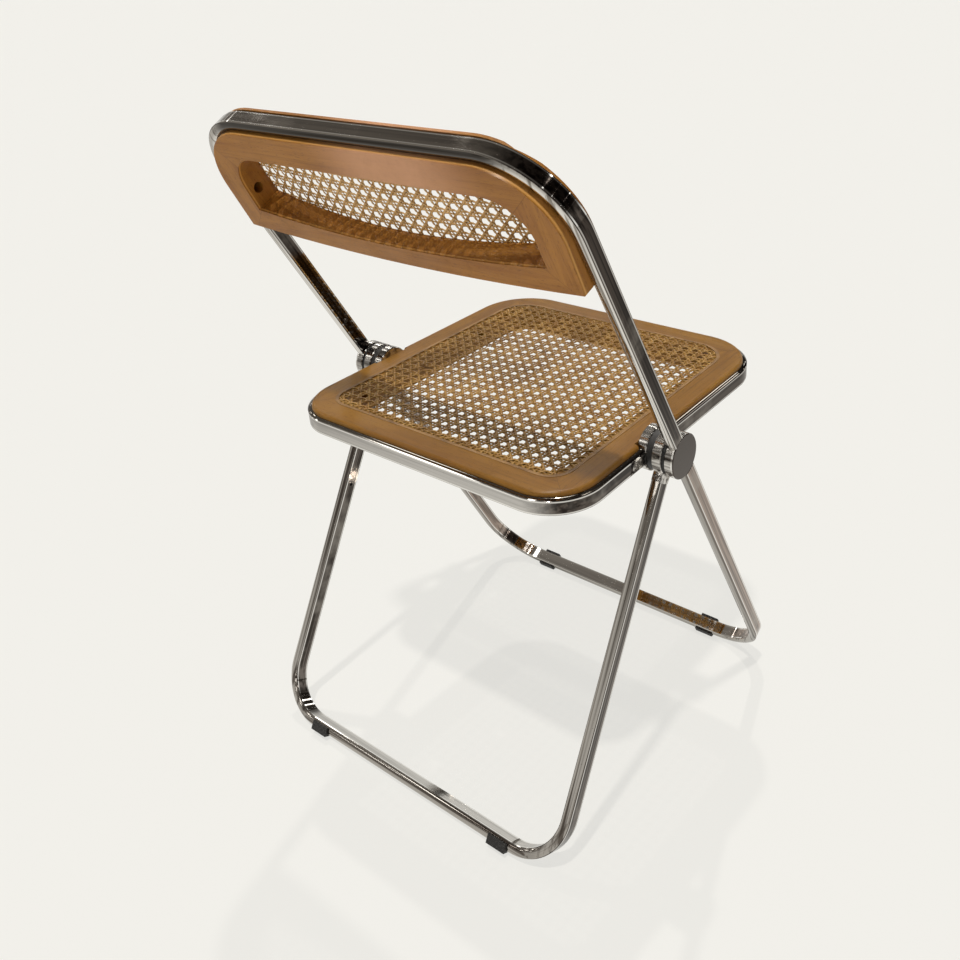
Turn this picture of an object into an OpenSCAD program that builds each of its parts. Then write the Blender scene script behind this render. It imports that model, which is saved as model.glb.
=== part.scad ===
// Folding chair with a bright steel frame and a wood-framed cane seat and back.
//
// Three tube frames share one hub axis that runs across the chair: the outer
// frame (back hoop and front legs in one line), the rear legs, and the seat.
// Each is built flat, with X across the chair, Y along the frame away from the
// hub and Z square to the frame, and is then leaned about the hub axis.
// The chair faces -Y. The origin is on the floor, in the middle of its plan.

/* [Overall] */
// Width over the outer frame
frame_w = 470; // [430:1:520]
// Hub axis to the top of the back hoop, along the tube
back_len = 410; // [380:1:450]
// Hub axis to the underside of the front floor bar, along the tube
leg_len = 493; // [460:1:520]
// Lean of the outer frame from the vertical
lean_deg = 33; // [28:0.5:36]
// Lean of the rear legs from the vertical
rear_deg = 26; // [20:0.5:30]
// Rise of the seat toward the front
seat_tilt = 4; // [0:0.5:6]

/* [Tube] */
// Thickness of the tube between its flat faces
tube_t = 11; // [9:0.5:14]
// Depth of the flat faces
tube_flat = 16; // [12:0.5:20]
// Swell of each narrow side beyond the flat faces
tube_bulge = 2; // [1:0.25:3]
// Wall of the tube
tube_wall = 1.5; // [1:0.1:2]
// Outer radius of the back hoop's corners
back_r = 86; // [70:1:100]
// Outer radius of the front legs' corners
leg_r = 80; // [60:1:84]
// Outer radius of the rear legs' corners
rear_r = 62; // [50:1:80]

/* [Hub] */
// Radius of the hub discs
hub_r = 25; // [22:0.5:28]
// Space between the outer and the middle frame
outer_gap = 4; // [3:0.25:6]
// Space between the middle and the inner frame
inner_gap = 7; // [5:0.25:9]
// Bevel around a hub disc
hub_bevel = 1; // [0.5:0.1:1.5]
// Radius of the pivot axle
axle_r = 5; // [4:0.25:6]
// Clearance of a running fit, on the radius
running_fit = 0.05; // [0.02:0.01:0.1]
// Clearance between flat faces that turn past each other
face_gap = 0.3; // [0.2:0.05:0.5]
// Radius of the axle's head
head_r = 9; // [8:0.5:11]
// Thickness of the axle's head
head_h = 2.5; // [2:0.25:3]
// Depth of the axle in the outer disc
axle_seat = 7; // [5:0.5:8]
// Radius of the black washers
washer_r = 23; // [20:0.5:24]
// Radius of a stop pin
pin_r = 2.5; // [2:0.25:3]
// Distance of the stop pins from the hub axis
pin_orbit = 16; // [14:0.5:18]
// Depth of a stop pin in its disc, and of its curved slot
pin_depth = 3; // [2.5:0.25:4]
// Length of the spigots in the back hoop and the legs, from the hub axis
spigot_len = 92; // [60:1:110]
// Length of the neck on the rear leg's hub, from the hub axis
neck_len = 34; // [30:1:40]
// Growth of the neck beyond the tube
neck_grow = 0.8; // [0.5:0.1:1.2]

/* [Seat] */
// Hub axis to the rear face of the seat ring
seat_back = 164; // [155:1:175]
// Hub axis to the front face of the seat ring
seat_front = 266; // [250:1:285]
// Outer radius of the seat ring's front corners
seat_front_r = 76; // [68:1:84]
// Outer radius of the seat ring's rear corners
seat_rear_r = 60; // [58:1:68]
// Step from the ring's outer face to the wood's edge
wood_inset = 5; // [4:0.5:7]
// Thickness of the wood over the ring
wood_lip = 5; // [4:0.5:7]
// Radius of the wood's upper edge
wood_round = 4; // [2:0.25:4]
// Width of the wood's rails inside the ring
seat_rail = 34; // [30:1:38]
// Depth of the wood below the top of the ring
seat_rail_d = 28; // [24:1:32]
// Width of the bevel under the wood's outer edge
seat_bevel = 9; // [6:0.5:9.5]
// Wood's outer edge to the middle of the spline
spline_in = 30; // [26:1:34]
// Width of the cane's spline
spline_w = 4; // [3:0.25:5]
// Depth of the spline's groove
spline_d = 5; // [4:0.25:6]
// Rise of the spline above the wood
spline_rise = 0.4; // [0.2:0.1:1]
// Length of the wood's notch at a hub
notch_len = 56; // [54:1:60]

/* [Backrest] */
// Top of the back hoop to the lower edge of the back panel
panel_h = 150; // [140:1:154]
// Width of the panel's rails at the top and sides
panel_rail = 32; // [28:1:36]
// Radius of the pocket's upper corners
pocket_r = 26; // [16:1:30]
// Height of the panel's lower rail
low_rail = 22; // [21:1:28]
// Rise of the pocket's floor toward the sides
floor_arch = 14; // [8:1:16]
// Rise of the panel's lower edge toward the sides
edge_arch = 10.5; // [4:0.5:11]
// Thickness of the panel in front of the hoop
panel_lip = 3; // [2:0.25:4]
// Step from the hoop's outer face to the lip at the sides
lip_in = 5; // [4:0.5:7]
// Panel's rise behind the hoop at its top
rise_top = 4; // [3:0.5:6]
// Panel's rise behind the hoop at its lower edge
rise_low = 12; // [10:0.5:14]
// Slope of the panel's bevel, from the square of the frame
bevel_deg = 8; // [6:1:30]
// Bow of the cane and of the panel's front, toward the rear
cane_bow = 12; // [8:0.5:14]

/* [Cane] */
// Thickness of the cane sheet
cane_t = 1.2; // [1:0.1:1.6]
// Thickness of the glue between the back's bowed wood and its cane
glue_t = 0.15; // [0.12:0.01:0.2]
// Spacing of the holes in the back's cane
back_pitch = 14.2; // [13:0.1:17]
// Spacing of the holes in the seat's cane
seat_pitch = 20; // [19.5:0.5:24]
// Holes' width as a share of their spacing
hole_share = 0.56; // [0.45:0.01:0.62]
// Overlap of the back's cane on its frame
cane_lap = 8; // [6:0.5:10]

/* [Fittings] */
// Width of a floor glide
glide_w = 25; // [20:1:30]
// Wall of a floor glide
glide_t = 2.5; // [2:0.25:3]
// Plastic below the tube's lowest edge
foot_t = 2; // [1.5:0.1:2]
// Middle of a rear glide, in from the rear legs' outer face
rear_glide_in = 77; // [77:1:100]
// Middle of a front glide, in from the front legs' outer face
front_glide_in = 94; // [94:1:110]
// Radius of a wood screw's head
screw_head_r = 4.5; // [3.5:0.25:5]
// Thickness of a wood screw's head
screw_head_h = 3; // [2:0.25:4]
// Radius of a wood screw's shank
screw_r = 2; // [1.5:0.25:2.5]
// Radius of a screw's counterbore
bore_r = 6; // [5.5:0.25:7]
// Wood left under a screw's head
bore_web = 12; // [8:1:16]
// Radius of the heads on the hubs' screws and rivets
rivet_r = 3; // [2.5:0.25:3.5]
// Rise of those heads
rivet_h = 1.2; // [1:0.1:1.6]
// Radius of the vent hole in a rear leg's inner face
vent_r = 2; // [1.5:0.25:2.5]
// Hub axis to that vent hole
vent_y = 163; // [150:1:180]

/* [Hidden] */
$fn = 96;

// One overrun serves every cut
over = 1;
// Clearance of a spigot in its tube
spigot_fit = 0.1;
// Sides of a hole in the cane
hole_sides = 8;

// The tube's section: flat faces, with an arc on each narrow side
half_t = tube_t / 2;
half_flat = tube_flat / 2;
half_d = half_flat + tube_bulge;
bulge_r = (half_t * half_t + tube_bulge * tube_bulge) / (2 * tube_bulge);
bulge_c = half_d - bulge_r;

// Half widths over the three frames
outer_half = frame_w / 2;
rear_half = outer_half - tube_t - outer_gap;
seat_half = rear_half - tube_t - inner_gap;

// Height of the hub axis over the floor, and the rear legs' length from it
hub_z = leg_len * cos(lean_deg) + half_flat * sin(lean_deg) + foot_t;
rear_len = (hub_z - foot_t - half_flat * sin(rear_deg)) / cos(rear_deg);

// Place of the hub axis between the front of the glides and the back hoop
glide_half = half_d + glide_t;
front_reach = (leg_len + glide_t) * sin(lean_deg) + glide_half * cos(lean_deg);
hoop_reach = (back_len - half_t) * sin(lean_deg) + reach(lean_deg);
hub_y = (front_reach - hoop_reach) / 2;

// Distance that a leaned tube section reaches from its middle, along Y
function reach(a) = bulge_c * cos(a) + bulge_r;

// Angles of the three frames about the hub axis
outer_turn = 90 - lean_deg;
rear_turn = rear_deg - 90;
seat_turn = -seat_tilt;

// Travel to the folded state, where the three frames lie in one plane
rear_fold = lean_deg + rear_deg;
seat_fold = 90 - lean_deg + seat_tilt;

// Angle of the stop pins at rest, about the hub axis from +Y
leg_pin_deg = 90;
seat_pin_deg = 30;

// Levels of the seat's wood over the middle of the ring
wood_top = half_d + wood_lip;
wood_under = half_d - seat_rail_d;
cane_in = wood_inset + spline_in + spline_w / 2;

// Place of the floor glides, from the middle of the chair
rear_glide_x = rear_half - rear_glide_in;
front_glide_x = outer_half - front_glide_in;

// Levels of the back panel, with +Z toward the sitter
panel_front = half_d + panel_lip;
panel_back = -half_d - rise_low - over;
panel_half = outer_half - tube_t;
panel_top = back_len - tube_t;
panel_low = back_len - panel_h;
pocket_half = panel_half - panel_rail;
pocket_low = panel_low + low_rail;
pocket_top = panel_top - panel_rail;
// Tilt of the panel's rear face
face_deg = atan((rise_low - rise_top) / (panel_top - panel_low));

// Radius of the panel's bowed front, and the middle of that arc
bow_half = pocket_half + cane_lap + spline_w;
bow_r = arc_r(bow_half, cane_bow);
bow_z = panel_front + bow_r - cane_bow;
floor_r = arc_r(pocket_half, floor_arch);
edge_r = arc_r(panel_half, edge_arch);
bow_low = panel_low - over;
bow_high = pocket_top + cane_lap + spline_w;

// Radius of an arc from half its chord and its rise
function arc_r(half, rise) = (half * half + rise * rise) / (2 * rise);

// Heights of the screws along the back panel and the seat
panel_screw_y = pocket_top - 2 * pocket_r;
panel_screw_z = -half_d / 2;
seat_screw_front = -seat_front / 2;
seat_screw_rear = seat_back / 2;
rivet_y = hub_r + hub_r * 3 / 4;
hoop_screw_y = spigot_len - half_t * 2;

steel = [0.78, 0.78, 0.8];
cast = [0.7, 0.71, 0.73];
beech = [0.72, 0.47, 0.24];
cane = [0.8, 0.62, 0.35];
black = [0.1, 0.1, 0.1];
clear = [0.85, 0.86, 0.84];
dark = [0.25, 0.24, 0.23];

// Frames: each places a flat piece on its part of the chair
module outer_frame() {
    translate([0, hub_y, hub_z])
        rotate([outer_turn, 0, 0])
            children();
}

module rear_frame() {
    translate([0, hub_y, hub_z])
        rotate([rear_turn, 0, 0])
            children();
}

module seat_frame_place() {
    translate([0, hub_y, hub_z])
        rotate([seat_turn, 0, 0])
            children();
}

module hub_place() {
    translate([0, hub_y, hub_z])
        children();
}

// Section of the tube, or of its bore when a wall is taken off
module section(off = 0) {
    r = bulge_r - off;
    half = half_t - off;
    flat = bulge_c + sqrt(r * r - half * half);
    intersection() {
        square([2 * half, 2 * (bulge_c + r)], center = true);
        union() {
            square([2 * half, 2 * flat], center = true);
            for (s = [-1, 1])
                translate([0, s * bulge_c])
                    circle(r = r);
        }
    }
}

// Sweep of a profile along half a hoop; the profile's x runs inward from the
// hoop's outer face, and its y is square to the frame
module half_sweep(half, len, r, start = 0) {
    translate([half, len - r, 0])
        rotate([90, 0, 0])
            linear_extrude(len - r - start)
                mirror([1, 0])
                    children();
    translate([half - r, len - r, 0])
        rotate_extrude(angle = 90)
            translate([r, 0])
                mirror([1, 0])
                    children();
    translate([0, len, 0])
        rotate([90, 0, 90])
            linear_extrude(half - r)
                mirror([1, 0])
                    children();
}

module sweep(half, len, r, start = 0) {
    half_sweep(half, len, r, start)
        children();
    mirror([1, 0, 0])
        half_sweep(half, len, r, start)
            children();
}

// Hollow tube bent to a hoop, with its mouths cut to the hub discs
module tube_hoop(half, len, r, mouth) {
    difference() {
        sweep(half, len, r)
            translate([half_t, 0])
                section();
        sweep(half, len, r, -over)
            translate([half_t, 0])
                section(tube_wall);
        rotate([0, 90, 0])
            cylinder(r = mouth, h = 2 * half + over, center = true);
    }
}

// Half of the outline of a hoop, filled
module half_outline(half, len, r) {
    translate([-half, 0])
        square([2 * half, len - r]);
    translate([r - half, 0])
        square([2 * (half - r), len]);
    for (s = [-1, 1])
        translate([s * (half - r), len - r])
            circle(r = r);
}

// Disc on the hub axis, from x0 outward, with bevelled rims
module disc(x0, thick, r, bevel) {
    translate([x0, 0, 0])
        rotate([0, 90, 0])
            rotate_extrude()
                polygon([
                    [0, 0], [r - bevel, 0], [r, bevel],
                    [r, thick - bevel], [r - bevel, thick], [0, thick]
                ]);
}

// Piece of a tube's inside or outside, from y0 to y1 on the right side
module side_bar(half, y0, y1, off) {
    translate([half - half_t, y0, 0])
        rotate([-90, 0, 0])
            linear_extrude(y1 - y0)
                section(off);
}

// Curved slot for a stop pin, from angle a0 to a1 about the hub axis; its
// round ends are a little wider than its sides
module stop_slot(x0, depth, a0, a1) {
    r = pin_r + face_gap;
    side_r = r - face_gap / 3;
    translate([x0, 0, 0])
        rotate([0, 90, 0])
            rotate([0, 0, 90]) {
                rotate([0, 0, a0])
                    rotate_extrude(angle = a1 - a0)
                        translate([pin_orbit - side_r, 0])
                            square([2 * side_r, depth]);
                for (a = [a0, a1])
                    rotate([0, 0, a])
                        translate([pin_orbit, 0, 0])
                            cylinder(r = r, h = depth);
            }
}

// Round pin along X at an angle about the hub axis
module hub_pin(x0, len, a, r) {
    translate([x0, 0, 0])
        rotate([0, 90, 0])
            rotate([0, 0, 90 + a])
                translate([pin_orbit, 0, 0])
                    cylinder(r = r, h = len);
}

// Head and shank along X: the head outside x0, the shank inward from it
module rivet_x(x0, shank, r = rivet_r, h = rivet_h) {
    translate([x0, 0, 0])
        rotate([0, 90, 0])
            cylinder(r1 = r, r2 = r - h / 2, h = h);
    translate([x0 - shank, 0, 0])
        rotate([0, 90, 0])
            cylinder(r = r / 2, h = shank);
}

// Mirrors a right-hand piece to the left where side is -1
module on_side(side) {
    if (side > 0)
        children();
    else
        mirror([1, 0, 0])
            children();
}

// Back hoop: the upper half of the outer frame
module back_hoop() {
    color(steel)
        outer_frame()
            difference() {
                tube_hoop(outer_half, back_len, back_r, hub_r);
                for (s = [-1, 1])
                    on_side(s) {
                        hoop_screw();
                        panel_screw();
                    }
            }
}

// Front legs and their floor bar: the lower half of the outer frame
module front_leg_hoop() {
    color(steel)
        outer_frame()
            mirror([0, 1, 0])
                tube_hoop(outer_half, leg_len, leg_r, hub_r);
}

// Outer hub: disc with a spigot for each tube, axle seat and slot for the stop
module outer_hub(side) {
    x0 = outer_half - tube_t;
    color(cast)
        difference() {
            outer_frame()
                on_side(side) {
                    disc(x0, tube_t, hub_r, hub_bevel);
                    side_bar(outer_half, -spigot_len, spigot_len, tube_wall + spigot_fit);
                }
            outer_frame()
                on_side(side) {
                    hoop_screw();
                    translate([x0 - over, 0, 0])
                        rotate([0, 90, 0])
                            cylinder(r = axle_r, h = axle_seat + over);
                }
            hub_place()
                on_side(side)
                    stop_slot(x0 - over, pin_depth + over, leg_pin_deg - rear_fold, leg_pin_deg);
        }
}

module hoop_screw() {
    translate([outer_half - tube_t, hoop_screw_y, 0])
        mirror([1, 0, 0])
            rivet_x(0, half_t);
}

// Screws that hold the back hoop on the outer hubs' spigots
module hoop_screws() {
    color(dark)
        outer_frame()
            for (s = [-1, 1])
                on_side(s)
                    hoop_screw();
}

// Pivot axle: headed pin, held in the outer disc
module pivot_axle(side) {
    head_x = seat_half - tube_t - face_gap - head_h;
    color(dark)
        hub_place()
            on_side(side) {
                disc(head_x, head_h, head_r, head_h / 4);
                translate([head_x, 0, 0])
                    rotate([0, 90, 0])
                        cylinder(r = axle_r, h = outer_half - tube_t + axle_seat - head_x);
            }
}

// Profile of the back panel's rail, inward from the hoop's inner face
module panel_profile() {
    slope = (rise_low + over) * tan(bevel_deg);
    polygon([
        [0, half_flat], [0, -half_d],
        [slope, panel_back], [panel_rail, panel_back],
        [panel_rail, panel_front], [0, panel_front]
    ]);
}

// Outline of the pocket, with round upper corners and an arched floor
module pocket_outline() {
    intersection() {
        half_outline(pocket_half, pocket_top, pocket_r);
        translate([0, pocket_low + floor_r])
            circle(r = floor_r, $fn = 720);
    }
}

// Body of the panel: swept rails, lower rail, and the lip over the hoop
module panel_body() {
    sweep(panel_half, panel_top, back_r - tube_t, panel_low)
        panel_profile();
    translate([0, 0, panel_back])
        linear_extrude(panel_front - panel_back)
            difference() {
                translate([-pocket_half - over, panel_low])
                    square([2 * (pocket_half + over), pocket_top + over - panel_low]);
                pocket_outline();
            }
    translate([0, 0, half_d])
        linear_extrude(panel_lip)
            difference() {
                half_outline(outer_half - lip_in, back_len, back_r);
                translate([-outer_half, -over])
                    square([frame_w, panel_low + over]);
                pocket_outline();
            }
}

// Everything above the panel's arched lower edge
module above_edge() {
    translate([0, panel_low + edge_r, panel_back - over])
        cylinder(r = edge_r, h = panel_front - panel_back + 2 * over, $fn = 720);
}

// Space behind the panel's tilted rear face
module behind_panel() {
    translate([-outer_half, panel_low, -half_d - rise_low])
        rotate([face_deg, 0, 0])
            translate([0, -back_len, -back_len])
                cube([frame_w, 2 * back_len, back_len]);
}

// Body between two radii of the bowed front, cut to an outline
module bowed_sheet(r0, r1, y0, y1) {
    difference() {
        translate([0, y0, bow_z])
            rotate([-90, 0, 0])
                cylinder(r = r0, h = y1 - y0, $fn = 256);
        translate([0, y0 - over, bow_z])
            rotate([-90, 0, 0])
                cylinder(r = r1, h = y1 - y0 + 2 * over, $fn = 256);
    }
}

// Room taken from the panel's front: a bow, with a slope up to the top rail
module bow_cut() {
    intersection() {
        translate([0, bow_low, bow_z])
            rotate([-90, 0, 0])
                cylinder(r = bow_r, h = back_len - bow_low, $fn = 256);
        translate([-outer_half, 0, 0])
            rotate([90, 0, 90])
                linear_extrude(frame_w)
                    polygon([
                        [bow_low, -half_d], [bow_high, panel_front - cane_bow - over],
                        [bow_high, panel_front - cane_bow],
                        [back_len - half_t, panel_front], [back_len - half_t, bow_z],
                        [bow_low, bow_z]
                    ]);
    }
}

// Wood frame of the back, with its bowed front and its open pocket
module back_panel_frame() {
    color(beech)
        outer_frame()
            difference() {
                intersection() {
                    panel_body();
                    above_edge();
                }
                behind_panel();
                bow_cut();
                for (s = [-1, 1])
                    on_side(s)
                        panel_screw(true);
            }
}

// Screw through the panel's side rail into the hoop, or the hole for it
module panel_screw(hole = false) {
    x0 = panel_half - bore_web;
    translate([x0, panel_screw_y, panel_screw_z])
        rotate([0, 90, 0]) {
            cylinder(r = screw_r, h = bore_web + tube_wall);
            if (hole)
                translate([0, 0, -panel_rail])
                    cylinder(r = bore_r, h = panel_rail);
            else
                socket_head();
        }
}

// Socket head that sits behind the origin, with its key's hollow
module socket_head() {
    key_r = screw_head_r / 2;
    translate([0, 0, -screw_head_h])
        difference() {
            cylinder(r = screw_head_r, h = screw_head_h);
            translate([0, 0, -over])
                cylinder(r = key_r, h = screw_head_h / 2 + over, $fn = 6);
        }
}

module back_panel_screws() {
    color(dark)
        outer_frame()
            for (s = [-1, 1])
                on_side(s)
                    panel_screw();
}

// Eight-sided holes on a square grid, n across and m along, about the origin
module holes(n, m, pitch) {
    r = pitch * hole_share / 2;
    for (i = [0:n - 1], j = [0:m - 1])
        translate([(i - (n - 1) / 2) * pitch, (j - (m - 1) / 2) * pitch])
            rotate([0, 0, 180 / hole_sides])
                circle(r = r, $fn = hole_sides);
}

// Cane of the back: a bowed sheet on the front of its frame
module back_cane() {
    w = 2 * (pocket_half + cane_lap);
    low = pocket_low - cane_lap;
    high = pocket_top + cane_lap;
    n = floor((2 * pocket_half - back_pitch) / back_pitch);
    m = floor((pocket_top - pocket_low) / back_pitch);
    color(cane)
        outer_frame()
            difference() {
                intersection() {
                    bowed_sheet(bow_r - glue_t, bow_r - cane_t, low, high);
                    translate([-w / 2, low - over, -half_d])
                        cube([w, high - low + 2 * over, 2 * half_d + panel_front]);
                }
                translate([0, (pocket_low + pocket_top) / 2, -half_d])
                    linear_extrude(2 * half_d + panel_front)
                        holes(n, m, back_pitch);
            }
}

// Spline around the back's cane, over its edge
module back_cane_spline() {
    x1 = pocket_half + cane_lap + spline_w;
    low = pocket_low - cane_lap - spline_w;
    high = pocket_top + cane_lap + spline_w;
    in = 2 * spline_w;
    color(cane)
        outer_frame()
            difference() {
                intersection() {
                    bowed_sheet(bow_r - glue_t, bow_r - cane_t - spline_rise, low, high);
                    translate([-x1, low - over, -half_d])
                        cube([2 * x1, high - low + 2 * over, 2 * half_d + panel_front]);
                }
                intersection() {
                    bowed_sheet(bow_r + over, bow_r - cane_t, low - over, high + over);
                    translate([-x1 + spline_w, low + spline_w, -half_d])
                        cube([2 * (x1 - spline_w), high - low - in, 2 * half_d + panel_front]);
                }
                translate([-x1 + in, low + in, -half_d])
                    cube([2 * (x1 - in), high - low - 2 * in, 2 * half_d + panel_front]);
            }
}

// Floor glide: a clip under the floor bar, open on its upper face
module glide_clip(len, x) {
    translate([x - glide_w / 2, len, 0])
        rotate([90, 0, 90])
            linear_extrude(glide_w)
                mirror([1, 0])
                    difference() {
                        translate([-glide_t, -glide_half])
                            square([tube_t, 2 * glide_half]);
                        translate([half_t, 0])
                            section();
                    }
}

// Everything below the floor
module underground() {
    translate([-frame_w, -leg_len, -glide_half * 2])
        cube([2 * frame_w, 2 * leg_len, glide_half * 2]);
}

module front_glide(side) {
    color(clear)
        difference() {
            outer_frame()
                mirror([0, 1, 0])
                    on_side(side)
                        glide_clip(leg_len, front_glide_x);
            underground();
        }
}

module rear_glide(side) {
    color(black)
        difference() {
            rear_frame()
                on_side(side)
                    glide_clip(rear_len, rear_glide_x);
            underground();
        }
}

// Rear legs and their floor bar
module rear_leg_hoop() {
    color(steel)
        rear_frame()
            difference() {
                tube_hoop(rear_half, rear_len, rear_r, neck_len);
                for (s = [-1, 1])
                    on_side(s)
                        translate([rear_half - tube_t - over, vent_y, 0])
                            rotate([0, 90, 0])
                                cylinder(r = vent_r, h = over + half_t);
            }
}

// Middle hub: disc, neck and spigot of a rear leg
module middle_hub(side) {
    x0 = rear_half - tube_t;
    color(cast)
        difference() {
            rear_frame()
                on_side(side)
                    difference() {
                        union() {
                            disc(x0, tube_t, hub_r, hub_bevel);
                            intersection() {
                                side_bar(rear_half, hub_r / 2, neck_len, -neck_grow);
                                translate([x0, 0, 0])
                                    rotate([0, 90, 0])
                                        cylinder(r = neck_len, h = tube_t);
                            }
                            side_bar(rear_half, hub_r / 2, spigot_len, tube_wall + spigot_fit);
                        }
                        leg_screw();
                        translate([x0 - over, 0, 0])
                            rotate([0, 90, 0])
                                cylinder(r = axle_r + running_fit, h = tube_t + 2 * over);
                    }
            hub_place()
                on_side(side) {
                    hub_pin(rear_half - pin_depth, pin_depth + over, leg_pin_deg, pin_r);
                    stop_slot(x0 - over, pin_depth + over,
                        seat_pin_deg, seat_pin_deg + seat_fold + rear_fold);
                }
        }
}

module leg_screw() {
    translate([rear_half - half_t, neck_len - rivet_r * 2, half_d + neck_grow])
        rotate([0, -90, 0])
            rivet_x(0, half_d);
}

// Screws in the necks of the rear legs' hubs
module leg_screws() {
    color(dark)
        rear_frame()
            for (s = [-1, 1])
                on_side(s)
                    leg_screw();
}

// Washer on the hub axis with a hole for the stop pin
module washer(side, x0, gap, a) {
    color(black)
        hub_place()
            on_side(side)
                difference() {
                    translate([x0, 0, 0])
                        rotate([0, 90, 0])
                            cylinder(r = washer_r, h = gap - face_gap);
                    translate([x0 - over, 0, 0])
                        rotate([0, 90, 0])
                            cylinder(r = axle_r + running_fit, h = gap + 2 * over);
                    hub_pin(x0 - over, gap + 2 * over, a, pin_r);
                }
}

// Pin from a disc, through its washer, into the next disc's slot
module stop_pin(side, x0, gap, a) {
    color(dark)
        hub_place()
            on_side(side)
                hub_pin(x0 - pin_depth, 2 * pin_depth + gap - face_gap, a, pin_r);
}

// Seat ring: two bent tubes that meet at the hubs
module seat_ring_front() {
    color(steel)
        seat_frame_place()
            difference() {
                mirror([0, 1, 0])
                    tube_hoop(seat_half, seat_front, seat_front_r, hub_r);
                for (s = [-1, 1])
                    on_side(s)
                        seat_screw(seat_screw_front);
            }
}

module seat_ring_rear() {
    color(steel)
        seat_frame_place()
            difference() {
                tube_hoop(seat_half, seat_back, seat_rear_r, hub_r);
                for (s = [-1, 1])
                    on_side(s) {
                        seat_screw(seat_screw_rear);
                        hub_rivet();
                    }
            }
}

// Inner hub: disc with a spigot each way and a riveted tab on the ring
module inner_hub(side) {
    x0 = seat_half - tube_t;
    reach_y = 2 * hub_r;
    tab_w = tube_flat - tube_bulge * 2;
    color(cast)
        difference() {
            seat_frame_place()
                on_side(side)
                    difference() {
                        union() {
                            disc(x0, tube_t, hub_r, hub_bevel);
                            side_bar(seat_half, -reach_y, reach_y, tube_wall + spigot_fit);
                            translate([seat_half, 0, -tab_w / 2])
                                cube([tube_wall, rivet_y, tab_w]);
                            intersection() {
                                translate([seat_half - hub_bevel, 0, -tab_w / 2])
                                    cube([hub_bevel + tube_wall, hub_r, tab_w]);
                                translate([x0, 0, 0])
                                    rotate([0, 90, 0])
                                        cylinder(r = hub_r, h = tube_t + tube_wall);
                            }
                            translate([seat_half, rivet_y, 0])
                                rotate([0, 90, 0])
                                    cylinder(r = tab_w / 2, h = tube_wall);
                        }
                        hub_rivet();
                        translate([x0 - over, 0, 0])
                            rotate([0, 90, 0])
                                cylinder(r = axle_r + running_fit, h = tube_t + tube_wall + 2 * over);
                        inner_washer_seat();
                    }
            hub_place()
                on_side(side)
                    hub_pin(seat_half - pin_depth, pin_depth + over, seat_pin_deg, pin_r);
        }
}

// Room for the inner washer, cut from the tab
module inner_washer_seat() {
    translate([seat_half, 0, 0])
        rotate([0, 90, 0])
            cylinder(r = washer_r, h = inner_gap);
}

module hub_rivet() {
    translate([seat_half + tube_wall, rivet_y, 0])
        rivet_x(0, tube_wall + half_t);
}

// Rivets that hold the inner hubs' tabs on the seat ring
module hub_rivets() {
    color(dark)
        seat_frame_place()
            for (s = [-1, 1])
                on_side(s)
                    hub_rivet();
}

// Profile of the seat's wood rail, inward from the ring's outer face
module seat_profile() {
    inner = tube_t + seat_rail;
    mid = wood_inset + spline_in;
    difference() {
        union() {
            polygon([
                [tube_t, wood_under + seat_bevel], [tube_t + seat_bevel, wood_under],
                [inner, wood_under], [inner, wood_top], [tube_t, wood_top]
            ]);
            translate([wood_inset + wood_round, half_d])
                square([tube_t, wood_lip]);
            translate([wood_inset, half_d])
                square([tube_t, wood_lip - wood_round]);
            translate([wood_inset + wood_round, wood_top - wood_round])
                intersection() {
                    circle(r = wood_round);
                    translate([-wood_round, 0])
                        square(wood_round);
                }
        }
        translate([mid - spline_w / 2, wood_top - spline_d])
            square([spline_w, spline_d + over]);
        translate([mid, wood_top - cane_t])
            square([inner - mid + over, cane_t + over]);
    }
}

// Wood frame of the seat, notched at the hubs
module seat_frame() {
    color(beech)
        seat_frame_place()
            difference() {
                union() {
                    sweep(seat_half, seat_back, seat_rear_r)
                        seat_profile();
                    mirror([0, 1, 0])
                        sweep(seat_half, seat_front, seat_front_r)
                            seat_profile();
                }
                for (s = [-1, 1])
                    on_side(s) {
                        translate([seat_half - tube_t, -notch_len / 2, half_d - over])
                            cube([tube_t, notch_len, wood_lip + 2 * over]);
                        translate([seat_half - tube_t - head_h - 2 * face_gap - over, 0, 0])
                            rotate([0, 90, 0])
                                cylinder(r = head_r + over, h = head_h + tube_t);
                        seat_screw(seat_screw_front, true);
                        seat_screw(seat_screw_rear, true);
                    }
            }
}

// Screw through the seat's side rail into the ring, or the hole for it
module seat_screw(y, hole = false) {
    translate([seat_half - tube_t - bore_web, y, 0])
        rotate([0, 90, 0]) {
            cylinder(r = screw_r, h = bore_web + tube_wall);
            if (hole)
                translate([0, 0, -seat_rail])
                    cylinder(r = bore_r, h = seat_rail);
            else
                socket_head();
        }
}

module seat_frame_screws() {
    color(dark)
        seat_frame_place()
            for (s = [-1, 1], y = [seat_screw_front, seat_screw_rear])
                on_side(s)
                    seat_screw(y);
}

// Outline of the seat at a distance inside the ring's outer face
module seat_outline(inset) {
    half_outline(seat_half - inset, seat_back - inset, seat_rear_r - inset);
    mirror([0, 1])
        half_outline(seat_half - inset, seat_front - inset, seat_front_r - inset);
}

// Cane of the seat: a flat sheet let into the wood, with its holes
module seat_cane() {
    length = seat_front + seat_back - 2 * cane_in;
    n = floor((2 * (seat_half - cane_in) - seat_pitch / 2) / seat_pitch);
    m = floor((length - seat_pitch / 2) / seat_pitch);
    color(cane)
        seat_frame_place()
            translate([0, 0, wood_top - cane_t])
                linear_extrude(cane_t)
                    difference() {
                        seat_outline(cane_in);
                        translate([0, (seat_back - seat_front) / 2])
                            holes(n, m, seat_pitch);
                    }
}

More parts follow.
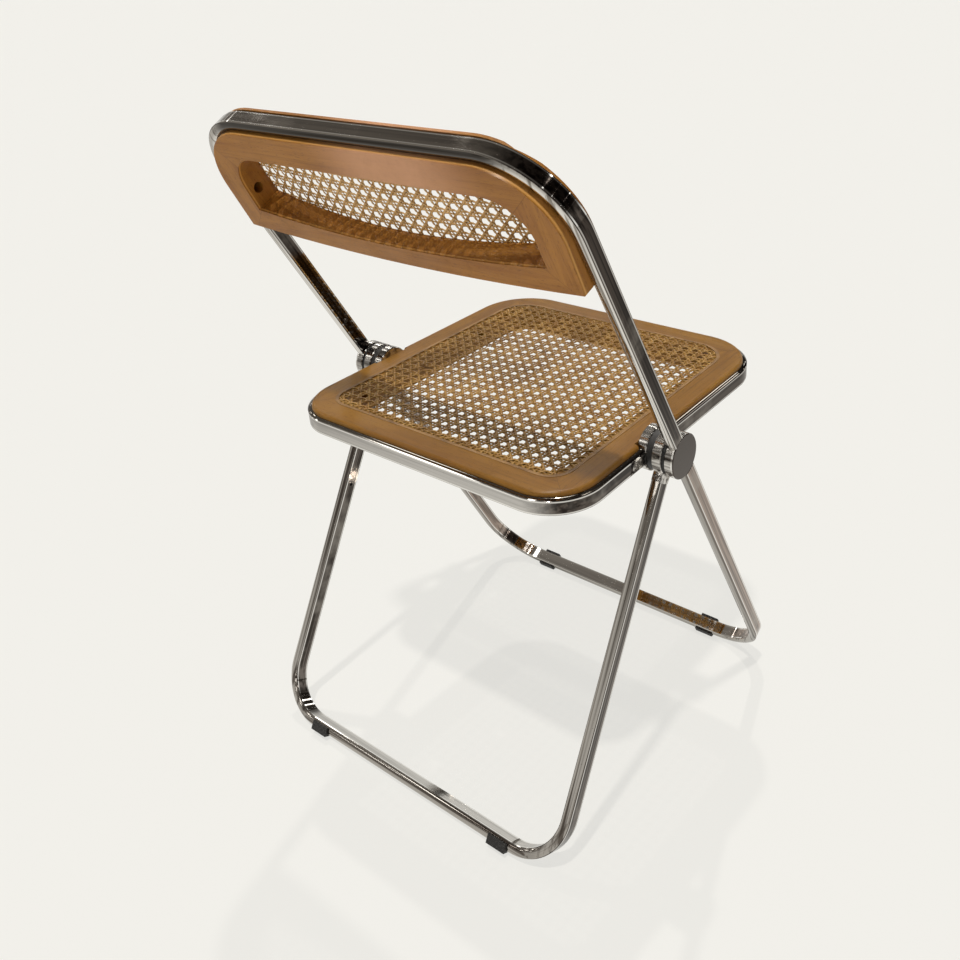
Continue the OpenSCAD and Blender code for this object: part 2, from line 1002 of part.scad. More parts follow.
// Spline that holds the seat's cane in its groove
module seat_cane_spline() {
    color(cane)
        seat_frame_place()
            translate([0, 0, wood_top - spline_d])
                linear_extrude(spline_d + spline_rise)
                    difference() {
                        seat_outline(cane_in - spline_w);
                        seat_outline(cane_in);
                    }
}

back_hoop();
front_leg_hoop();
outer_hub(1);  // outer_hub_left
outer_hub(-1);  // outer_hub_right
pivot_axle(1);  // pivot_axle_left
pivot_axle(-1);  // pivot_axle_right
hoop_screws();
back_panel_frame();
back_cane();
back_cane_spline();
back_panel_screws();
front_glide(1);  // front_glide_left
front_glide(-1);  // front_glide_right
rear_leg_hoop();
middle_hub(1);  // middle_hub_left
middle_hub(-1);  // middle_hub_right
washer(1, rear_half, outer_gap, leg_pin_deg);  // outer_washer_left
washer(-1, rear_half, outer_gap, leg_pin_deg);  // outer_washer_right
stop_pin(1, rear_half, outer_gap, leg_pin_deg);  // leg_stop_pin_left
stop_pin(-1, rear_half, outer_gap, leg_pin_deg);  // leg_stop_pin_right
leg_screws();
rear_glide(1);  // rear_glide_left
rear_glide(-1);  // rear_glide_right
seat_ring_front();
seat_ring_rear();
inner_hub(1);  // inner_hub_left
inner_hub(-1);  // inner_hub_right
washer(1, seat_half, inner_gap, seat_pin_deg);  // inner_washer_left
washer(-1, seat_half, inner_gap, seat_pin_deg);  // inner_washer_right
stop_pin(1, seat_half, inner_gap, seat_pin_deg);  // seat_stop_pin_left
stop_pin(-1, seat_half, inner_gap, seat_pin_deg);  // seat_stop_pin_right
hub_rivets();
seat_frame();
seat_cane();
seat_cane_spline();
seat_frame_screws();
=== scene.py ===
"""Dresses the folding cane chair: chrome, beech, woven cane, fittings, studio."""
import logging
import math
from dataclasses import dataclass, field
from enum import Enum
from typing import Any, Callable, Sequence

import bpy
from mathutils import Matrix, Vector


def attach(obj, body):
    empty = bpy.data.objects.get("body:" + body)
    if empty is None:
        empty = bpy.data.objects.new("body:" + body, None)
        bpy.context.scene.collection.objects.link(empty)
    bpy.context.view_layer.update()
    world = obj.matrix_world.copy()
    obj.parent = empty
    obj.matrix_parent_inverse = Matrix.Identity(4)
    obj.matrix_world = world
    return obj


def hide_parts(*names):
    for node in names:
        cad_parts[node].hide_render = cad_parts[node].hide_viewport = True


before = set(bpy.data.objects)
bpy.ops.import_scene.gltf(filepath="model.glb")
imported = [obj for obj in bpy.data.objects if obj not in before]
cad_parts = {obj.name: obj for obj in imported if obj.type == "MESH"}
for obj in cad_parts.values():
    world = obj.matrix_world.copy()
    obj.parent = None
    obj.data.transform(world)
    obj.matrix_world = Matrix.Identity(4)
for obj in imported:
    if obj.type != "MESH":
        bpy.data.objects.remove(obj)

LOG = logging.getLogger("cane_chair")
MM = 0.001

Colour = tuple[float, float, float]
Point = tuple[float, float, float]


class Body(Enum):
    """The chair's three moving frames, by the names of their bodies."""

    OUTER = "frame"
    REAR = "rear_legs"
    SEAT = "seat"


@dataclass(frozen=True)
class Plan:
    """Where the hub axis lies, in metres, and how each frame leans about it."""

    hub: Point = (0.0, 0.0251387, 0.419822)
    outer_deg: float = 57.0
    rear_deg: float = -64.0
    seat_deg: float = -4.0

    def turn(self, body: Body) -> float:
        """Returns the angle of a frame about the hub axis, in radians."""
        degrees = {Body.OUTER: self.outer_deg, Body.REAR: self.rear_deg, Body.SEAT: self.seat_deg}
        return math.radians(degrees[body])

    def place(self, body: Body) -> Matrix:
        """Returns the matrix that carries a frame's flat sizes to the chair."""
        return Matrix.Translation(self.hub) @ Matrix.Rotation(self.turn(body), 4, "X")


PLAN = Plan()


def linear(hex_colour: str) -> Colour:
    """Turns a written colour to the linear values that shaders take.

    Args:
        hex_colour: Six digits, as in "C08A4A".

    Returns:
        Red, green and blue from 0 to 1.
    """
    parts = [int(hex_colour[i:i + 2], 16) / 255 for i in (0, 2, 4)]
    return tuple(p / 12.92 if p <= 0.04045 else ((p + 0.055) / 1.055) ** 2.4 for p in parts)


class Scalar:
    """A number that varies over a surface, written with Python's operators."""

    def __init__(self, bench: "Bench", socket: bpy.types.NodeSocket) -> None:
        """Keeps the socket that carries the number."""
        self.bench = bench
        self.socket = socket

    def _math(self, operation: str, *values: Any) -> "Scalar":
        """Adds a Math node.

        Args:
            operation: The node's operation.
            values: Up to three numbers or Scalars.

        Returns:
            The node's result.
        """
        node = self.bench.node("ShaderNodeMath", {"operation": operation}, dict(enumerate(values)))
        return Scalar(self.bench, node.outputs[0])

    def __add__(self, other: Any) -> "Scalar":
        """Returns the sum."""
        return self._math("ADD", self, other)

    __radd__ = __add__

    def __sub__(self, other: Any) -> "Scalar":
        """Returns the difference."""
        return self._math("SUBTRACT", self, other)

    def __rsub__(self, other: Any) -> "Scalar":
        """Returns the difference, the other way round."""
        return self._math("SUBTRACT", other, self)

    def __mul__(self, other: Any) -> "Scalar":
        """Returns the product."""
        return self._math("MULTIPLY", self, other)

    __rmul__ = __mul__

    def __truediv__(self, other: Any) -> "Scalar":
        """Returns the quotient."""
        return self._math("DIVIDE", self, other)

    def __gt__(self, other: Any) -> "Scalar":
        """Returns 1 where this is greater, and 0 elsewhere."""
        return self._math("GREATER_THAN", self, other)

    def abs(self) -> "Scalar":
        """Returns the absolute value."""
        return self._math("ABSOLUTE", self)

    def most(self, other: Any) -> "Scalar":
        """Returns the greater of two numbers."""
        return self._math("MAXIMUM", self, other)

    def fraction(self) -> "Scalar":
        """Returns what is left above the whole number."""
        return self._math("FRACT", self)

    def step(self, low: float, high: float) -> "Scalar":
        """Returns a smooth step.

        Args:
            low: Where the step is 0.
            high: Where the step is 1.

        Returns:
            A number from 0 to 1.
        """
        node = self.bench.node(
            "ShaderNodeMapRange", {"interpolation_type": "SMOOTHSTEP"},
            {"Value": self, "From Min": low, "From Max": high})
        return Scalar(self.bench, node.outputs["Result"])


class Bench:
    """Builds the nodes of one material, or of the world."""

    def __init__(self, name: str, for_world: bool = False) -> None:
        """Makes an empty material or world.

        Args:
            name: Its name.
            for_world: Whether it is a world.
        """
        self.made = (bpy.data.worlds if for_world else bpy.data.materials).new(name)
        self.made.use_nodes = True
        self.tree = self.made.node_tree
        self.tree.nodes.clear()

    def feed(self, socket: bpy.types.NodeSocket, value: Any) -> None:
        """Links or sets a socket.

        Args:
            socket: The socket that takes the value.
            value: A Scalar, a socket, a number, or a colour or vector.
        """
        if isinstance(value, Scalar):
            value = value.socket
        if isinstance(value, bpy.types.NodeSocket):
            self.tree.links.new(value, socket)
        elif socket.type == "RGBA" and len(value) == 3:
            socket.default_value = (*value, 1.0)
        else:
            socket.default_value = value

    def node(self, kind: str, settings: dict | None = None,
             inputs: dict | None = None) -> bpy.types.Node:
        """Adds a node.

        Args:
            kind: The node's type.
            settings: Its properties, set first.
            inputs: Its sockets' values or links, by name or number.

        Returns:
            The node.
        """
        node = self.tree.nodes.new(kind)
        for key, value in (settings or {}).items():
            setattr(node, key, value)
        for key, value in (inputs or {}).items():
            self.feed(node.inputs[key], value)
        return node

    def vector(self, operation: str, *values: Any) -> bpy.types.NodeSocket:
        """Adds a Vector Math node.

        Args:
            operation: The node's operation.
            values: Vectors or vector sockets.

        Returns:
            The result, a vector socket.
        """
        settings = {"operation": operation}
        return self.node("ShaderNodeVectorMath", settings, dict(enumerate(values))).outputs["Vector"]

    def where(self, body: Body | None = None) -> bpy.types.NodeSocket:
        """Returns the place on the piece, in metres.

        Args:
            body: The frame whose flat axes are used, or None for the chair's.

        Returns:
            A vector socket.
        """
        coordinates = self.node("ShaderNodeTexCoord").outputs["Object"]
        if body is None:
            return coordinates
        turned = self.node("ShaderNodeMapping", {"vector_type": "TEXTURE"}, {
            "Vector": coordinates, "Location": PLAN.hub, "Rotation": (PLAN.turn(body), 0.0, 0.0)})
        return turned.outputs[0]

    def rays(self) -> tuple[Scalar, Scalar, Scalar]:
        """Tells which rays see a surface.

        Returns:
            Three masks: camera rays, mirror rays, and both with the rays through glass.
        """
        light = self.node("ShaderNodeLightPath").outputs
        camera = Scalar(self, light["Is Camera Ray"])
        mirror = Scalar(self, light["Is Glossy Ray"])
        through = Scalar(self, light["Is Transmission Ray"])
        return camera, mirror, camera.most(mirror).most(through)

    def split(self, vector: bpy.types.NodeSocket) -> tuple[Scalar, Scalar, Scalar]:
        """Returns a vector's three parts."""
        parts = self.node("ShaderNodeSeparateXYZ", None, {0: vector}).outputs
        return Scalar(self, parts[0]), Scalar(self, parts[1]), Scalar(self, parts[2])

    def noise(self, vector: bpy.types.NodeSocket, scale: float, detail: float = 3.0,
              roughness: float = 0.55, distortion: float = 0.0) -> Scalar:
        """Adds soft noise.

        Args:
            vector: Where it is read.
            scale: Its size, as waves a metre.
            detail: How many finer layers it has.
            roughness: How strong those are.
            distortion: How much it swirls.

        Returns:
            A number about 0.5.
        """
        node = self.node("ShaderNodeTexNoise", None, {
            "Vector": vector, "Scale": scale, "Detail": detail,
            "Roughness": roughness, "Distortion": distortion})
        return Scalar(self, node.outputs["Fac"])

    def blend(self, factor: Any, first: Any, second: Any) -> bpy.types.NodeSocket:
        """Mixes two colours.

        Args:
            factor: 0 for the first and 1 for the second.
            first: A colour or a colour socket.
            second: A colour or a colour socket.

        Returns:
            A colour socket.
        """
        settings = {"data_type": "RGBA", "clamp_factor": True}
        return self.node("ShaderNodeMix", settings, {0: factor, 6: first, 7: second}).outputs[2]

    def bump(self, height: Scalar, distance: float, strength: float = 1.0) -> bpy.types.NodeSocket:
        """Returns a normal that follows a height, with its distance in metres."""
        return self.node("ShaderNodeBump", None, {
            "Height": height, "Distance": distance, "Strength": strength}).outputs[0]

    def surface(self, **inputs: Any) -> bpy.types.Node:
        """Adds the shader, with underscores in its sockets' names for spaces."""
        named = {key.replace("_", " "): value for key, value in inputs.items()}
        return self.node("ShaderNodeBsdfPrincipled", None, named)

    def finish(self, shader: bpy.types.Node) -> bpy.types.Material | bpy.types.World:
        """Links the last shader to the output.

        Args:
            shader: The last shader.

        Returns:
            The finished material or world.
        """
        kind = "World" if isinstance(self.made, bpy.types.World) else "Material"
        self.node(f"ShaderNodeOutput{kind}", None, {"Surface": shader.outputs[0]})
        return self.made


@dataclass(frozen=True)
class Chrome:
    """Chromed tube with painted reflections: dark flats, rims painted bright as highlights and streaked
    narrow sides, with specks.

    The depths are measured from a tube's middle plane: its flats reach to
    flat_to, its rims lie beyond that, and its narrow sides start at side_from.
    From leg_x outwards the painted reflection streaks run along the legs, and inwards along the rails.
    """

    # All these colours but fleck are painted reflection and highlight; fleck is the specks' own colour.
    bright: Colour = linear("F1EFEB")
    middle: Colour = linear("A8A29A")
    dull: Colour = linear("6E6762")
    dark: Colour = linear("36312D")
    fleck: Colour = linear("2E2620")
    side_low: Colour = linear("8F8981")
    side_high: Colour = linear("DFDCD7")
    flat_to: float = 5.8 * MM
    flat_fade: float = 0.8 * MM
    rim_to: float = 8.0 * MM
    rim_fade: float = 0.8 * MM
    side_from: float = 8.3 * MM
    side_fade: float = 0.4 * MM
    leg_x: tuple[float, float] = (0.165, 0.2)
    leg_streaks: Point = (230.0, 3.0, 230.0)
    rail_streaks: Point = (3.0, 230.0, 230.0)
    cloud_waves: float = 16.0
    speck_waves: float = 620.0
    dent_waves: float = 60.0
    gloss: float = 0.035

    @staticmethod
    def _streaks(bench: Bench, flat: bpy.types.NodeSocket, stretch: Point) -> Scalar:
        """Returns long streaks, thin along the axes that are stretched most."""
        return bench.noise(bench.vector("MULTIPLY", flat, stretch), 1.0, 3.0, 0.55, 0.2)

    def material(self, name: str, body: Body, bar: tuple[float, float],
                 rail: float = 1.0) -> bpy.types.Material:
        """Returns the material of the tubes on a body, with painted reflections streaked along them.

        Args:
            name: The material's name.
            body: The frame whose tubes it dresses.
            bar: Where along the frame the floor bar's paler painted reflection starts and is full.
            rail: How pale the painted reflection on the cross rails' flats is, from 0 to 1.

        Returns:
            The material.
        """
        bench = Bench(name)
        place = bench.where()
        flat = bench.where(body)
        across, along, depth = bench.split(flat)
        level = depth.abs()
        leg = across.abs().step(*self.leg_x)
        bar_reflection = along.step(*bar) * (1.0 - leg)
        # Streaks of painted reflection, running along the legs and along the rails.
        reflection_streak = leg * self._streaks(bench, flat, self.leg_streaks)
        reflection_streak = reflection_streak + (1.0 - leg) * self._streaks(bench, flat, self.rail_streaks)
        cloud = bench.noise(place, self.cloud_waves, 4.0, 0.6)
        specks = bench.noise(place, self.speck_waves, 1.0).step(0.72, 0.8)
        side = level.step(self.side_from, self.side_from + self.side_fade)
        rim_highlight = level.step(self.flat_to, self.flat_to + self.flat_fade)
        rim_highlight = rim_highlight * level.step(self.rim_to, self.rim_to - self.rim_fade)
        # The flats: painted dark reflection, paler on the cross rails and paler still on the floor bar.
        wide = bench.blend(reflection_streak.step(0.4, 0.62), self.dark, self.dull)
        wide = bench.blend(cloud.step(0.5, 0.72) * 0.5, wide, self.middle)
        wide = bench.blend((1.0 - leg) * (reflection_streak * rail), wide, self.middle)
        wide = bench.blend(bar_reflection * (0.15 + reflection_streak * 0.6), wide, self.bright)
        # The narrow sides: streaked light and dark painted reflection, painted dark on the rails away
        # from the floor bar.
        narrow = bench.blend(reflection_streak.step(0.36, 0.5), self.side_low, self.side_high)
        narrow = bench.blend((1.0 - leg) * (1.0 - bar_reflection) * 0.9, narrow, self.dark)
        colour = bench.blend(side, wide, narrow)
        # The rims are painted highlights.
        colour = bench.blend(rim_highlight * 0.85, colour, self.bright)
        return bench.finish(bench.surface(
            Base_Color=bench.blend(specks * 0.6, colour, self.fleck),
            Metallic=1.0,
            Roughness=cloud.step(0.35, 0.8) * 0.09 + specks * 0.25 + self.gloss,
            Normal=bench.bump(
                reflection_streak * 0.5 + bench.noise(place, self.dent_waves, 2.0), 0.15 * MM, 0.25),
        ))


@dataclass(frozen=True)
class CastHub:
    """Polished castings: dark tarnished bands that are partly painted reflection, caps painted dark as
    a reflection from face_from outwards, and a painted highlight round each cap.
    """

    bright: Colour = linear("D6D3CE")
    tarnish_and_reflection: Colour = linear("4A433D")
    face: Colour = linear("433B36")
    edge_highlight: Colour = linear("ECEAE6")
    face_from: float = 234.0 * MM
    edge_w: float = 2.0 * MM
    edge_fade: float = 0.6 * MM
    ripple: Point = (9.0, 150.0, 150.0)
    grain_waves: float = 420.0
    gloss: float = 0.02

    def material(self) -> bpy.types.Material:
        """Makes the hubs' material.

        Returns:
            The material.
        """
        bench = Bench("hub_casting")
        place = bench.where()
        grain = bench.noise(place, self.grain_waves, 3.0, 0.6)
        cloud = bench.noise(bench.vector("MULTIPLY", place, self.ripple), 1.0, 2.0, 0.5)
        # Bands along the axis: partly tarnished metal, partly painted reflection.
        rim_colour = bench.blend(cloud.step(0.42, 0.62) * 0.85, self.bright, self.tarnish_and_reflection)
        out = bench.split(place)[0].abs()
        edge_from = self.face_from - self.edge_w
        # A painted highlight band just inside the cap's outer face, all round the hub.
        rim_colour = bench.blend(out.step(edge_from, edge_from + self.edge_fade), rim_colour, self.edge_highlight)
        return bench.finish(bench.surface(
            # The caps' outer faces are painted dark as a reflection.
            Base_Color=bench.blend((out > self.face_from) * 0.95, rim_colour, self.face),
            Metallic=1.0,
            Roughness=cloud * 0.22 + grain * 0.06 + self.gloss,
            Normal=bench.bump(grain, 0.03 * MM, 0.3),
        ))


@dataclass(frozen=True)
class DarkSteel:
    """Blackened screws, rivets and pins, scuffed bright in places."""

    dark: Colour = linear("3B3733")
    wear_and_highlight: Colour = linear("8D8882")
    rub_waves: float = 500.0

    def material(self, name: str) -> bpy.types.Material:
        """Makes the fittings' material.

        Args:
            name: The material's name.

        Returns:
            The material.
        """
        bench = Bench(name)
        rub = bench.noise(bench.where(), self.rub_waves, 4.0, 0.6)
        return bench.finish(bench.surface(
            Base_Color=bench.blend(rub.step(0.45, 0.75), self.dark, self.wear_and_highlight),
            Metallic=1.0,
            Roughness=rub * 0.3 + 0.22,
            Normal=bench.bump(rub, 0.1 * MM, 0.5),
        ))


@dataclass(frozen=True)
class Beech:
    """Honey-stained beech: soft grain, short dark rays, satin lacquer.

    A paler sheen is painted on the top rail about a point along it, between two
    shares of its height, and fades out between two distances from that point.
    """

    pale: Colour = linear("8E6420")
    honey: Colour = linear("785018")
    deep: Colour = linear("58370F")
    ray: Colour = linear("46290C")
    dirt: Colour = linear("3C250D")
    edge_highlight: Colour = linear("DDA55A")
    # A paler colour, painted as sheen.
    sheen: Colour = linear("D5A07A")
    band_stretch: Point = (2.2, 26.0, 26.0)
    streak_stretch: Point = (5.0, 190.0, 190.0)
    ray_stretch: Point = (130.0, 1000.0, 1000.0)
    cloud_waves: float = 9.0
    wear_waves: float = 30.0
    joint_w: float = 0.7 * MM
    sheen_x: float = -55.0 * MM
    sheen_fade: tuple[float, float] = (120.0 * MM, 20.0 * MM)
    sheen_shares: tuple[float, float] = (0.15, 0.35)

    def _grain(self, bench: Bench,
               along: bpy.types.NodeSocket) -> tuple[bpy.types.NodeSocket, Scalar]:
        """Makes the colour of wood whose grain runs along a place's X.

        Args:
            bench: The material's bench.
            along: The place, with X along the grain.

        Returns:
            The colour, and the height of its pores.
        """
        bands = bench.noise(bench.vector("MULTIPLY", along, self.band_stretch), 2.2, 4.0, 0.55, 0.6)
        streaks = bench.noise(bench.vector("MULTIPLY", along, self.streak_stretch), 2.0, 3.0, 0.6)
        rays = bench.noise(bench.vector("MULTIPLY", along, self.ray_stretch), 1.3, 1.0, 0.5)
        rays = rays.step(0.63, 0.72)
        clouds = bench.noise(along, self.cloud_waves, 3.0)
        colour = bench.blend(bands.step(0.3, 0.72), self.pale, self.honey)
        colour = bench.blend(streaks.step(0.45, 0.85) * 0.55, colour, self.deep)
        colour = bench.blend(clouds.step(0.42, 0.8) * 0.3, colour, self.deep)
        return bench.blend(rays * 0.5, colour, self.ray), streaks * 0.4 + rays * -0.6

    def material(self, name: str, body: Body, middle: Point, reach: tuple[float, float],
                 edges: Sequence[Point] = (), sheen_strength: float = 0.0) -> bpy.types.Material:
        """Returns the material of a frame of rails, mitred where they meet.

        Args:
            name: The material's name.
            body: The frame that the wood rides on.
            middle: The middle of the wood, in that frame.
            reach: Half its size along X and Y.
            edges: Bands of painted highlight along the wood's rounded corners: their low and middle
                level, and their slope.
            sheen_strength: How strong the painted sheen in the middle of the top rail is, from 0 to 1.

        Returns:
            The material.
        """
        bench = Bench(name)
        place = bench.vector("SUBTRACT", bench.where(body), middle)
        across, up, depth = bench.split(place)
        past_mitre = across.abs() - up.abs() - (reach[0] - reach[1])
        side = past_mitre > 0.0
        turned = bench.node("ShaderNodeCombineXYZ", None, {0: up, 1: across, 2: depth}).outputs[0]
        rail_colour, rail_pores = self._grain(bench, place)
        side_colour, side_pores = self._grain(bench, turned)
        colour = bench.blend(side, rail_colour, side_colour)
        pores = side * side_pores + (1.0 - side) * rail_pores
        joint = past_mitre.abs().step(self.joint_w, 0.0)
        colour = bench.blend(joint * 0.45, colour, self.ray)
        wear = bench.noise(bench.where(), self.wear_waves, 5.0, 0.7)
        colour = bench.blend(wear.step(0.56, 0.75) * 0.25, colour, self.dirt)
        # A paler patch painted as sheen on the middle of the top rail.
        sheen_from, sheen_full = (share * reach[1] for share in self.sheen_shares)
        sheen_patch = (across - self.sheen_x).abs().step(*self.sheen_fade) * up.step(sheen_from, sheen_full)
        colour = bench.blend(sheen_patch * (0.5 + wear) * sheen_strength, colour, self.sheen)
        # Painted highlights along the wood's rounded corners, in bands near its rear face.
        for low, high, face in edges:
            level = depth - up * face
            wear_and_highlight = level.step(low, high) * level.step(2 * high - low, high)
            colour = bench.blend(wear_and_highlight * (0.55 + wear * 0.4), colour, self.edge_highlight)
        return bench.finish(bench.surface(
            Base_Color=colour,
            Roughness=wear * 0.28 + 0.26,
            Coat_Weight=0.2 - wear * 0.15,
            Coat_Roughness=0.25,
            Specular_IOR_Level=0.22,
            Normal=bench.bump(pores, 0.12 * MM, 0.5),
        ))


@dataclass(frozen=True)
class Cane:
    """Split rattan: golden strands that vary, with dull brown in the crossings."""

    light: Colour = linear("BA914D")
    straw: Colour = linear("8E6427")
    brown: Colour = linear("593B12")
    node: Colour = linear("432809")
    flatten: Point = (1.0, 1.0, 0.2)
    broad_waves: float = 11.0
    strand_waves: float = 95.0
    knot_waves: float = 52.0
    fibre_waves: float = 900.0

    def material(self, name: str, body: Body) -> bpy.types.Material:
        """Makes the material of a cane sheet.

        Args:
            name: The material's name.
            body: The frame that the sheet rides on.

        Returns:
            The material.
        """
        bench = Bench(name)
        place = bench.where(body)
        broad = bench.noise(place, self.broad_waves, 3.0)
        strand = bench.noise(
            bench.vector("MULTIPLY", place, self.flatten), self.strand_waves, 3.0, 0.6)
        knots = bench.noise(place, self.knot_waves, 1.0).step(0.7, 0.76)
        fibre = bench.noise(place, self.fibre_waves, 2.0, 0.6)
        colour = bench.blend(strand.step(0.3, 0.72), self.light, self.straw)
        colour = bench.blend(broad.step(0.4, 0.75) * 0.55, colour, self.brown)
        colour = bench.blend(knots * 0.5, colour, self.node)
        return bench.finish(bench.surface(
            Base_Color=bench.blend(fibre.step(0.5, 0.8) * 0.3, colour, self.brown),
            Roughness=fibre * 0.2 + 0.34,
            Specular_IOR_Level=0.4,
            Normal=bench.bump(fibre, 0.15 * MM, 0.6),
        ))


@dataclass(frozen=True)
class Reed:
    """The reed that is glued into the groove round the cane."""

    reed: Colour = linear("96713E")
    dark: Colour = linear("573A18")
    fibre_waves: float = 700.0
    broad_waves: float = 40.0

    def material(self) -> bpy.types.Material:
        """Makes the splines' material.

        Returns:
            The material.
        """
        bench = Bench("reed_spline")
        place = bench.where()
        fibre = bench.noise(place, self.fibre_waves, 3.0, 0.6)
        broad = bench.noise(place, self.broad_waves, 3.0)
        darkness = broad.step(0.35, 0.7) * 0.6 + fibre * 0.25
        return bench.finish(bench.surface(
            Base_Color=bench.blend(darkness, self.reed, self.dark),
            Roughness=fibre * 0.2 + 0.42,
            Normal=bench.bump(fibre, 0.2 * MM, 0.7),
        ))


@dataclass(frozen=True)
class Rubber:
    """Black rubber or plastic, scuffed grey."""

    black: Colour = linear("1B1A19")
    scuff: Colour = linear("5A5652")
    gloss: float = 0.5
    scuff_waves: float = 160.0
    grain_waves: float = 1500.0

    def material(self, name: str) -> bpy.types.Material:
        """Makes a black material.

        Args:
            name: The material's name.

        Returns:
            The material.
        """
        bench = Bench(name)
        place = bench.where()
        scuffs = bench.noise(place, self.scuff_waves, 5.0, 0.7)
        grain = bench.noise(place, self.grain_waves, 2.0)
        return bench.finish(bench.surface(
            Base_Color=bench.blend(scuffs.step(0.55, 0.78) * 0.45, self.black, self.scuff),
            Roughness=scuffs * 0.25 + self.gloss,
            Normal=bench.bump(grain + scuffs, 0.15 * MM, 0.6),
        ))


class Shop:
    """Edit-mode work on one piece, with every operator's selection set first."""

    @staticmethod
    def clear() -> None:
        """Deselects every object."""
        if bpy.context.object is not None and bpy.context.object.mode != "OBJECT":
            bpy.ops.object.mode_set(mode="OBJECT")
        bpy.ops.object.select_all(action="DESELECT")

    @staticmethod
    def take(piece: bpy.types.Object) -> None:
        """Makes one object the only one selected, and active.

        Args:
            piece: The object.
        """
        Shop.clear()
        piece.select_set(True)
        bpy.context.view_layer.objects.active = piece

    @staticmethod
    def empty(name: str) -> bpy.types.Object:
        """Adds an empty mesh object at the origin and enters edit mode.

        Args:
            name: The object's name.

        Returns:
            The object.
        """
        Shop.clear()
        bpy.ops.mesh.primitive_plane_add(size=1.0, location=(0.0, 0.0, 0.0))
        piece = bpy.context.object
        piece.name = name
        bpy.ops.object.mode_set(mode="EDIT")
        bpy.ops.mesh.select_all(action="SELECT")
        bpy.ops.mesh.delete(type="VERT")
        return piece

    @staticmethod
    def modify(piece: bpy.types.Object, kind: str, **settings: Any) -> None:
        """Adds a modifier and applies it.

        Args:
            piece: The object.
            kind: The modifier's type.
            settings: Its properties.
        """
        Shop.take(piece)
        modifier = piece.modifiers.new(kind.lower(), kind)
        for key, value in settings.items():
            setattr(modifier, key, value)
        bpy.ops.object.modifier_apply(modifier=modifier.name)

    @staticmethod
    def settle(piece: bpy.types.Object, place: Matrix) -> None:
        """Moves a finished piece and writes the place in its mesh.

        Args:
            piece: The object.
            place: The move, as a matrix.
        """
        Shop.take(piece)
        piece.matrix_world = place
        bpy.ops.object.transform_apply(location=True, rotation=True, scale=True)

    @staticmethod
    def pick(piece: bpy.types.Object, test: Callable[[Vector], bool]) -> None:
        """Selects the vertices of a piece that pass a test, and enters edit mode.

        Args:
            piece: The object.
            test: A function of a vertex's place.
        """
        Shop.take(piece)
        bpy.ops.object.mode_set(mode="EDIT")
        bpy.ops.mesh.select_mode(type="VERT")
        bpy.ops.mesh.select_all(action="DESELECT")
        bpy.ops.object.mode_set(mode="OBJECT")
        for vertex in piece.data.vertices:
            vertex.select = test(vertex.co)
        bpy.ops.object.mode_set(mode="EDIT")


